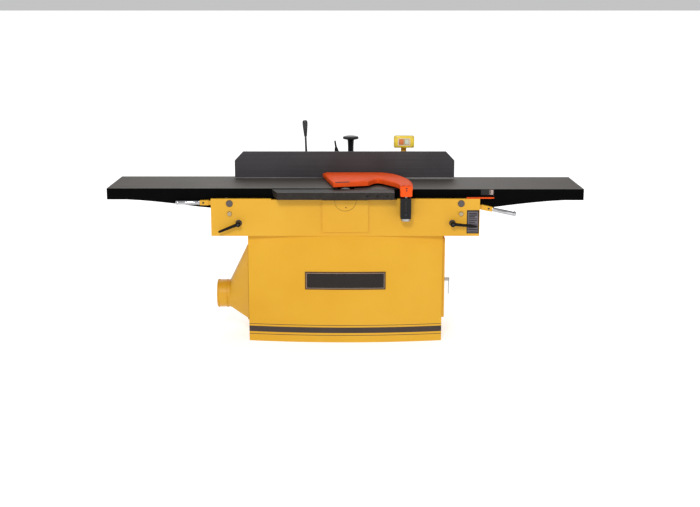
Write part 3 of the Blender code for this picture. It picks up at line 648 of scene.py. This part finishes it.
def scale_pieces():
    """Tick marks on the depth scale, every fourth one longer, and the pointer's screws."""
    low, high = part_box("depth_scale")
    ticks = bmesh.new()
    count = 17
    for i in range(count):
        z = low.z + 0.0025 + i * (high.z - low.z - 0.005) / (count - 1)
        reach = 0.022 if i % 4 == 0 else 0.012
        block(ticks, (high.x - 0.004 - reach, low.y - 0.0002, z - 0.0003),
              (high.x - 0.004, low.y + 0.0001, z + 0.0003))
    piece("depth_scale_ticks", ticks, "pale", "infeed_table")
    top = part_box("depth_pointer")[1].z + PROUD
    places = [(x, -0.244, top) for x in (0.635, 0.660)]
    fasteners("depth_pointer_screws", socket_screw, places, UP, 0.0034, 0.002, "frame")


# ---------------------------------------------------------------- controls

def lever_pieces():
    """Cap screw and washer on each lock lever."""
    for word, joint in (("left", "lock_left_turn"), ("right", "lock_right_turn")):
        x, _, z = JOINTS[joint]["pos_m"]
        body = "lock_" + word
        cap = bmesh.new()
        socket_screw(cap, (x, -0.3081, z), FRONT, 0.0052, 0.0014)
        piece("lock_cap_" + word, cap, "oxide", body)
        washer = bmesh.new()
        profile = [(0.0165, 0), (0.0165, 0.0022), (0.0150, 0.0028)]
        lathe(washer, profile, (x, BED_FRONT - PROUD, z), FRONT, 28)
        piece("lock_washer_" + word, washer, "oxide", body)


def height_lever_pieces():
    """Set screw on each cast socket, and a polished ring at both ends of its grip."""
    for kind, side in (("infeed", 1), ("outfeed", -1)):
        low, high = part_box(kind + "_grip")
        near = Vector((low.x if side > 0 else high.x, 0, 0))
        shaft = Vector(JOINTS[kind + "_lift"]["pos_m"])
        far = Vector((high.x if side > 0 else low.x, 0, low.z if kind == "infeed" else (low.z + high.z) / 2))
        grip_axis = (far + Vector((0, 0, 0.011 if kind == "infeed" else 0)) - shaft)
        grip_axis.y = 0
        grip_axis.normalize()
        start = shaft + Vector((0, -0.2248, 0)) + grip_axis * abs((near.x - shaft.x) / grip_axis.x)
        collar = bmesh.new()
        for profile in ([(0.0112, 0.0012), (0.0118, 0.0030), (0.0118, 0.0060), (0.0112, 0.0078)],
                        [(0.0112, 0.113), (0.0116, 0.1150), (0.0116, 0.1190), (0.0104, 0.1225)]):
            lathe(collar, profile, start, grip_axis, 28)
        piece(kind + "_grip_rings", collar, "chrome", kind + "_crank")
        seat = start - grip_axis * 0.018
        fasteners(kind + "_set_screw", socket_screw, [(seat.x, -0.2346, seat.z)], FRONT, 0.0050, 0.0014,
                  kind + "_crank")


def knob_piece():
    """Knob: domed top, ribbed rim and a stepped stem."""
    low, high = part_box("carriage_knob")
    centre = ((low.x + high.x) / 2, (low.y + high.y) / 2, 0)
    mesh = bmesh.new()
    rim, ribs, steps = high.x - centre[0], 18, 108
    profile = [(0.0160, low.z), (0.0165, low.z + 0.004), (0.0155, low.z + 0.010), (0.0160, 0.9550),
               (0.0178, 0.9870), (0.0210, 0.9925), (0.0320, 0.9940), (0.0405, 0.9955), (rim, 0.9985),
               (rim, 1.0050), (0.0405, 1.0090), (0.0300, 1.0122), (0.0150, high.z - 0.0012),
               (0.0040, high.z - 0.0003)]
    rings = []
    for radius, z in profile:
        depth = 0.0022 if radius > 0.035 else (0.0006 if z < 0.98 else 0.0)
        ring = []
        for i in range(steps):
            angle = 2 * math.pi * i / steps
            reach = radius - depth * (0.5 + 0.5 * math.cos(ribs * angle)) ** 3
            ring.append((centre[0] + reach * math.cos(angle), centre[1] + reach * math.sin(angle), z))
        rings.append(ring)
    skin(mesh, rings)
    knob = piece("knob_shell", mesh, "black", "knob")
    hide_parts("carriage_knob")


def switch_pieces():
    """Parting rim round the switch box, pale face plate, button rings and screws."""
    low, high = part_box("switch_box")
    middle = (low + high) / 2
    rim = bmesh.new()
    corner, steps = 0.0085, 5
    outline = []
    for sx, sz, start in ((1, 1, 0), (-1, 1, 90), (-1, -1, 180), (1, -1, 270)):
        for i in range(steps + 1):
            angle = math.radians(start + 90 * i / steps)
            outline.append((middle.x + sx * ((high.x - low.x) / 2 - corner) + corner * math.cos(angle),
                            middle.z + sz * ((high.z - low.z) / 2 - corner) + corner * math.sin(angle)))

    def loop(grow, y):
        return [(middle.x + (x - middle.x) * (1 + grow / (high.x - low.x) * 2), y,
                 middle.z + (z - middle.z) * (1 + grow / (high.z - low.z) * 2)) for x, z in outline]

    skin(rim, [loop(0.0012, low.y + 0.012), loop(0.0012, low.y + 0.0145), loop(-0.002, low.y + 0.0145),
               loop(-0.002, low.y + 0.012)], True)
    piece("switch_rim", rim, "oxide", "frame")

    plate = bmesh.new()

    def bar(x_low, x_high, z_low, z_high):
        block(plate, (middle.x + x_low, low.y - 0.0006, middle.z + z_low),
              (middle.x + x_high, low.y + 0.001, middle.z + z_high))

    outer_x, inner_x, outer_z, inner_z, divider = 0.0340, 0.0282, 0.020, 0.0158, 0.0012
    for x_low, x_high in ((-outer_x, -inner_x), (inner_x, outer_x)):
        bar(x_low, x_high, -outer_z, outer_z)
    for z_low, z_high in ((-outer_z, -inner_z), (inner_z, outer_z)):
        bar(-inner_x, inner_x, z_low, z_high)
    bar(-divider, divider, -inner_z, inner_z)
    piece("switch_plate", plate, "pale", "frame", 0.0003)
    places = [(middle.x + sx * 0.0455, low.y - PROUD, middle.z + sz * 0.0245)
              for sx in (-1, 1) for sz in (-1, 1)]
    fasteners("switch_screws", socket_screw, places, FRONT, 0.0026, 0.0012, "frame", "steel")


# ---------------------------------------------------------------- fence and carriage

def fence_pieces():
    """Bolts through the fence into its quadrants, an angle scale and the slide's fastenings."""
    bolts = [(side * 0.1395, 0.1795, 0.852 + step * 0.028) for side in (-1, 1) for step in (0, 1)]
    fasteners("fence_quadrant_bolts", hex_bolt, bolts, BACK, 0.0060, 0.006, "fence", "zinc")
    hinge = Vector(JOINTS["fence_tilt"]["pos_m"])
    scale = bmesh.new()
    for i in range(19):
        angle = math.radians(35 + 45 * i / 18)
        reach = 0.010 if i % 3 == 0 else 0.006
        inner = hinge + Vector((0, math.cos(angle), math.sin(angle))) * (0.113 - reach)
        outer = hinge + Vector((0, math.cos(angle), math.sin(angle))) * 0.113
        wide = Vector((0, -math.sin(angle), math.cos(angle))) * 0.0005
        rings = []
        for x in (0.1456, 0.1459):
            rings.append([Vector((x, 0, 0)) + Vector((0, p.y, p.z)) for p in
                          (inner - wide, outer - wide, outer + wide, inner + wide)])
        skin(scale, rings)
    piece("fence_angle_scale", scale, "pale", "fence")

    places = [(x, y, 0.8502) for x in (-0.095, 0.095) for y in (0.385, 0.470, 0.555)]
    fasteners("carriage_gib_screws", socket_screw, places, UP, 0.0060, 0.006, "carriage")
    places = [(x, 0.206, 0.8118) for x in (-0.045, 0.045)]
    fasteners("carriage_cover_screws", socket_screw, places, UP, 0.0036, 0.002, "carriage")
    collar = bmesh.new()
    for x in (-0.112, 0.106):
        profile = [(0.0105, 0), (0.0115, 0.001), (0.0115, 0.005), (0.0105, 0.006)]
        lathe(collar, profile, (x, 0.290, 0.922), RIGHT, 28)
    piece("tilt_shaft_collars", collar, "steel", "carriage")
    ruler = bmesh.new()
    block(ruler, (-0.1186, 0.350, 0.8503), (-0.1090, 0.590, 0.8509))
    piece("carriage_ruler", ruler, "steel", "carriage", 0.0001)
    ticks = bmesh.new()
    for i in range(25):
        y = 0.352 + i * 0.0098
        reach = 0.0065 if i % 5 == 0 else 0.004
        block(ticks, (-0.1180, y - 0.0003, 0.8508), (-0.1180 + reach, y + 0.0003, 0.8511))
    piece("carriage_ruler_ticks", ticks, "print_and_shade", "carriage")

    base_low, base_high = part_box("fence_base")
    places = [(x, base_low.y + 0.030, base_high.z + PROUD) for x in (-0.072, 0.072)]
    fasteners("fence_base_bolts", hex_bolt, places, UP, 0.0055, 0.0012, "frame", "zinc")


# ---------------------------------------------------------------- cutterhead, drive and cabinet

def head_pieces():
    """Square carbide inserts on four helical rows, each in its own shallow seat."""
    mesh, screws = bmesh.new(), bmesh.new()
    rows, count, half = 4, 22, 0.0065
    low, high = -0.172, 0.192
    for row in range(rows):
        for i in range(count):
            y = low + (high - low) * (i + 0.5 * (row % 2)) / count
            angle = 2 * math.pi * row / rows + 1.1 * (y - low) / (high - low)
            out = Vector((math.cos(angle), 0, math.sin(angle)))
            along = Vector(BACK)
            side = along.cross(out)
            centre = Vector((HEAD_AXIS.x, y, HEAD_AXIS.z)) + out * (HEAD_RADIUS - 0.0012)
            rings = []
            for size, lift in ((half, 0), (half, 0.0014), (half - 0.0008, 0.0019)):
                rings.append([centre + out * lift + along * (a * size) + side * (b * size)
                              for a, b in ((-1, -1), (1, -1), (1, 1), (-1, 1))])
            skin(mesh, rings)
            lathe(screws, [(0.0030, 0), (0.0030, 0.0021), (0.0022, 0.0024)], centre, out, 10)
    piece("cutter_inserts", mesh, "carbide", "cutterhead")
    piece("insert_screws", screws, "oxide", "cutterhead")


def motor_pieces():
    """Cooling fins, and fan cowl slots drawn as dark sheets of painted shade."""
    centre = Vector(JOINTS["motor_spin"]["pos_m"])
    fins = bmesh.new()
    count = 28
    for i in range(count):
        angle = 2 * math.pi * (i + 0.5) / count
        out = Vector((math.cos(angle), 0, math.sin(angle)))
        if out.z < -0.72 or (out.x > 0.35 and out.z > 0.3):
            continue
        side = Vector(BACK).cross(out) * 0.0014
        rings = []
        for y in (-0.050, 0.168):
            root, tip = centre + out * 0.0835, centre + out * 0.0925
            rings.append([Vector((p.x, y, p.z)) for p in (root - side, root + side, tip + side * 0.6,
                                                         tip - side * 0.6)])
        skin(fins, rings)
    piece("motor_fins", fins, "grey", "frame", 0.0005)
    # The cowl's slots are dark sheets: painted shade in place of openings.
    cowl = bmesh.new()
    slots = 18
    for i in range(slots):
        angle = 2 * math.pi * i / slots
        out = Vector((math.cos(angle), 0, math.sin(angle)))
        side = Vector(BACK).cross(out) * 0.0022
        rings = []
        for y in (-0.0868, -0.0852):
            root, tip = centre + out * 0.022, centre + out * 0.054
            rings.append([Vector((p.x, y, p.z)) for p in (root - side, root + side, tip + side, tip - side)])
        skin(cowl, rings)
    piece("motor_cowl_slot_shade", cowl, "print_and_shade", "frame")


def drive_pieces():
    """Bolts, and a column of vents on the belt guard drawn as dark sheets of painted shade."""
    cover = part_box("belt_guard")[1].y
    span = Vector(JOINTS["motor_spin"]["pos_m"]) - HEAD_AXIS
    places = []
    for share, reach in ((0.18, 0.030), (0.18, -0.030), (0.82, 0.048), (0.82, -0.048)):
        point = HEAD_AXIS + span * share
        across = Vector((span.z, 0, -span.x)).normalized()
        places.append((point.x + across.x * reach, cover + PROUD, point.z + across.z * reach))
    fasteners("belt_guard_bolts", hex_bolt, places, BACK, 0.0060, 0.0055, "frame", "zinc")
    # Each vent is a dark sheet: painted shade in place of an opening.
    vents = bmesh.new()
    along = span.normalized()
    across = Vector((along.z, 0, -along.x))
    for i in range(9):
        centre = HEAD_AXIS + span * (0.42 + 0.035 * i)
        corners = [centre + across * (a * 0.026) + along * (b * 0.0030)
                   for a, b in ((-1, -1), (1, -1), (1, 1), (-1, 1))]
        skin(vents, [[(p.x, y, p.z) for p in corners] for y in (cover - 0.0006, cover + 0.0004)])
    piece("belt_guard_vent_shade", vents, "print_and_shade", "frame")


def hood_pieces():
    """Rolled beads round the dust port, a bolted flange strip and the dark gasket under it."""
    low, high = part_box("dust_hood")
    port_z, radius, lip = 0.2026, 0.0738, 0.0012
    bead = bmesh.new()
    for x in (low.x + 0.006, low.x + 0.052):
        rings = []
        for i in range(48):
            turn = 2 * math.pi * i / 48
            section = [2 * math.pi * k / 8 for k in range(8)]
            rings.append([(x + 0.0026 * math.cos(a), (radius + lip + 0.0018 * math.sin(a)) * math.cos(turn),
                           port_z + (radius + lip + 0.0018 * math.sin(a)) * math.sin(turn)) for a in section])
        skin(bead, rings, True)
    piece("dust_port_beads", bead, "sheet", "frame")

    x = -BASE_HIGH.x - PROUD
    gap, gasket, width = 0.0004, 0.0030, 0.020

    def rectangle(grow, x):
        side, end = grow, min(grow, 0.0015)
        return [(x, y, z) for y, z in ((low.y - side, low.z - end), (high.y + side, low.z - end),
                                       (high.y + side, high.z + end), (low.y - side, high.z + end))]

    for name, inner, outer, near, far, finish in (
        ("hood_flange", gap, width, x - gasket, x - gasket - 0.002, "sheet"),
        ("hood_gasket", gap, width + 0.0014, x, x - gasket + 0.0001, "rubber"),
    ):
        strip = bmesh.new()
        corners = ((outer, near), (outer, far), (inner, far), (inner, near))
        skin(strip, [rectangle(grow, depth) for grow, depth in corners], True)
        piece(name, strip, finish, "frame", 0.0004)
    places = []
    for i in range(5):
        z = low.z + 0.002 + (high.z - low.z - 0.004) * i / 4
        places += [(x - gasket - 0.0021, side * (high.y + width / 2), z) for side in (-1, 1)]
    fasteners("hood_bolts", hex_bolt, places, LEFT, 0.0048, 0.0040, "frame", "sheet")


def door_pieces():
    """Hinge knuckles, a pressed panel line, louvres and the latch's plate."""
    low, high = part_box("access_door")
    hinge_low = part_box("door_hinge")[0]
    hinge = JOINTS["door_swing"]["pos_m"]
    knuckles = bmesh.new()
    for i in range(5):
        start = hinge_low.z + 0.012 + i * 0.075
        lathe(knuckles, [(0.0046, 0), (0.0050, 0.001), (0.0050, 0.055), (0.0046, 0.056)],
              (hinge[0], hinge[1], start), UP, 20)
    piece("hinge_knuckles", knuckles, "steel", "frame")
    face = high.x
    frame_strip = bmesh.new()
    root, top = face - 0.0005, face + 0.0012

    def panel_line(margin, x):
        return [(x, low.y + margin, low.z + margin), (x, high.y - margin, low.z + margin),
                (x, high.y - margin, high.z - margin), (x, low.y + margin, high.z - margin)]

    corners = ((0.020, root), (0.020, top), (0.027, top), (0.027, root))
    skin(frame_strip, [panel_line(margin, x) for margin, x in corners], True)
    piece("door_swage", frame_strip, "sheet", "door", 0.0008)
    louvres = bmesh.new()
    for i in range(7):
        z = low.z + 0.070 + i * 0.020
        rings = []
        for y, lift in ((-0.070, 0.0002), (-0.064, 0.0045), (0.084, 0.0045), (0.090, 0.0002)):
            rings.append([(face - 0.0003, y, z), (face + lift, y, z + 0.001),
                          (face + lift * 0.8, y, z + 0.005), (face - 0.0003, y, z + 0.011)])
        skin(louvres, rings)
    piece("door_louvres", louvres, "sheet", "door")
    plate = bmesh.new()
    latch = JOINTS["latch_turn"]["pos_m"]
    profile = [(0.0165, 0), (0.0165, 0.0010), (0.0150, 0.0016)]
    lathe(plate, profile, (face + PROUD, latch[1], latch[2]), RIGHT, 32)
    piece("latch_escutcheon", plate, "zinc", "door")


def cabinet_pieces():
    """Bolts on the cabinet's back, the switch post's foot and the bed's two ends."""
    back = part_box("base_back")[1].y
    places = [(x, back + PROUD, z) for x in (-0.47, -0.24, 0.0, 0.24, 0.47) for z in (0.025, 0.540)
              if not (x in (0.0, 0.24) and z > 0.5)]
    fasteners("back_panel_screws", hex_bolt, places, BACK, 0.0045, 0.0035, "frame", "zinc")
    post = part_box("switch_post")
    middle = (post[0].x + post[1].x) / 2
    places = [(middle + sx * 0.021, BED_BACK + 0.0072, 0.655) for sx in (-1, 1)]
    fasteners("post_bolts", hex_bolt, places, BACK, 0.0048, 0.005, "frame", "zinc")
    ends = [(sx * 0.664, y, BED_LOW.z + 0.0222) for sx in (-1, 1) for y in (-0.160, 0.180)]
    fasteners("bed_end_bolts", hex_bolt, ends, UP, 0.0070, 0.007, "frame", "zinc")


# ---------------------------------------------------------------- studio

def look(item, at):
    item.rotation_euler = (Vector(at) - item.location).to_track_quat("-Z", "Y").to_euler()


# Pinhole camera fitted to the photograph, with the tables taken as 2438 mm long
CAMERA_PLACE = (0, -6.104, 1.733)
CAMERA_TILT = math.radians(90) - 0.21196
CAMERA_SHIFT = 0.0067


def studio():
    """Camera, pale paper floor, three soft lamps and an even world."""
    scene = bpy.context.scene
    scene.view_settings.view_transform = "Standard"
    lens = bpy.data.cameras.new("camera")
    lens.lens = 60.0
    lens.sensor_width = 36.0
    lens.shift_x = CAMERA_SHIFT
    camera = bpy.data.objects.new("camera", lens)
    camera.location = CAMERA_PLACE
    camera.rotation_euler = (CAMERA_TILT, 0, 0)
    scene.collection.objects.link(camera)
    scene.camera = camera

    floor_mesh = bmesh.new()
    bmesh.ops.create_grid(floor_mesh, x_segments=2, y_segments=2, size=250.0)
    data = bpy.data.meshes.new("floor")
    floor_mesh.to_mesh(data)
    floor_mesh.free()
    floor = bpy.data.objects.new("floor", data)
    floor.location.z = -0.0005
    scene.collection.objects.link(floor)
    paper = Shader("studio_floor")
    across, along = (paper.math("POWER", paper.axis(index), 2.0) for index in (0, 1))
    distance = paper.math("SQRT", paper.math("ADD", across, along))
    # The sweep glows further out, as a lit paper backdrop does.
    paper.set(Base_Color=(0.62, 0.62, 0.62, 1), Roughness=0.9, Specular_IOR_Level=0.1,
              Emission_Color=(1, 1, 1, 1), Emission_Strength=paper.band(distance, 1.2, 6.0, 0.62, 0.85))
    data.materials.append(paper.material)

    for name, place, size, power, target in (
        ("key", (-0.8, -5.6, 3.9), 1.3, 165, (0, 0, 0.5)),
        ("fill", (3.2, -5.0, 1.6), 3.0, 30, (0, 0, 0.5)),
        ("back", (0, 3.4, 3.4), 4.0, 60, (0, 0, 0.6)),
    ):
        light = bpy.data.lights.new(name, "AREA")
        light.shape = "DISK"
        light.size = size
        light.energy = power
        lamp = bpy.data.objects.new(name, light)
        lamp.location = place
        look(lamp, target)
        scene.collection.objects.link(lamp)

    world = bpy.data.worlds.new("studio")
    world.use_nodes = True
    world.node_tree.nodes["Background"].inputs["Color"].default_value = (1, 1, 1, 1)
    world.node_tree.nodes["Background"].inputs["Strength"].default_value = 0.55
    scene.world = world


dress_frame()
soften_frame()
studio()
guard_pieces()
arm_pieces()
nameplate_pieces()
placard_pieces()
scale_pieces()
lever_pieces()
height_lever_pieces()
knob_piece()
switch_pieces()
fence_pieces()
head_pieces()
motor_pieces()
drive_pieces()
hood_pieces()
door_pieces()
cabinet_pieces()
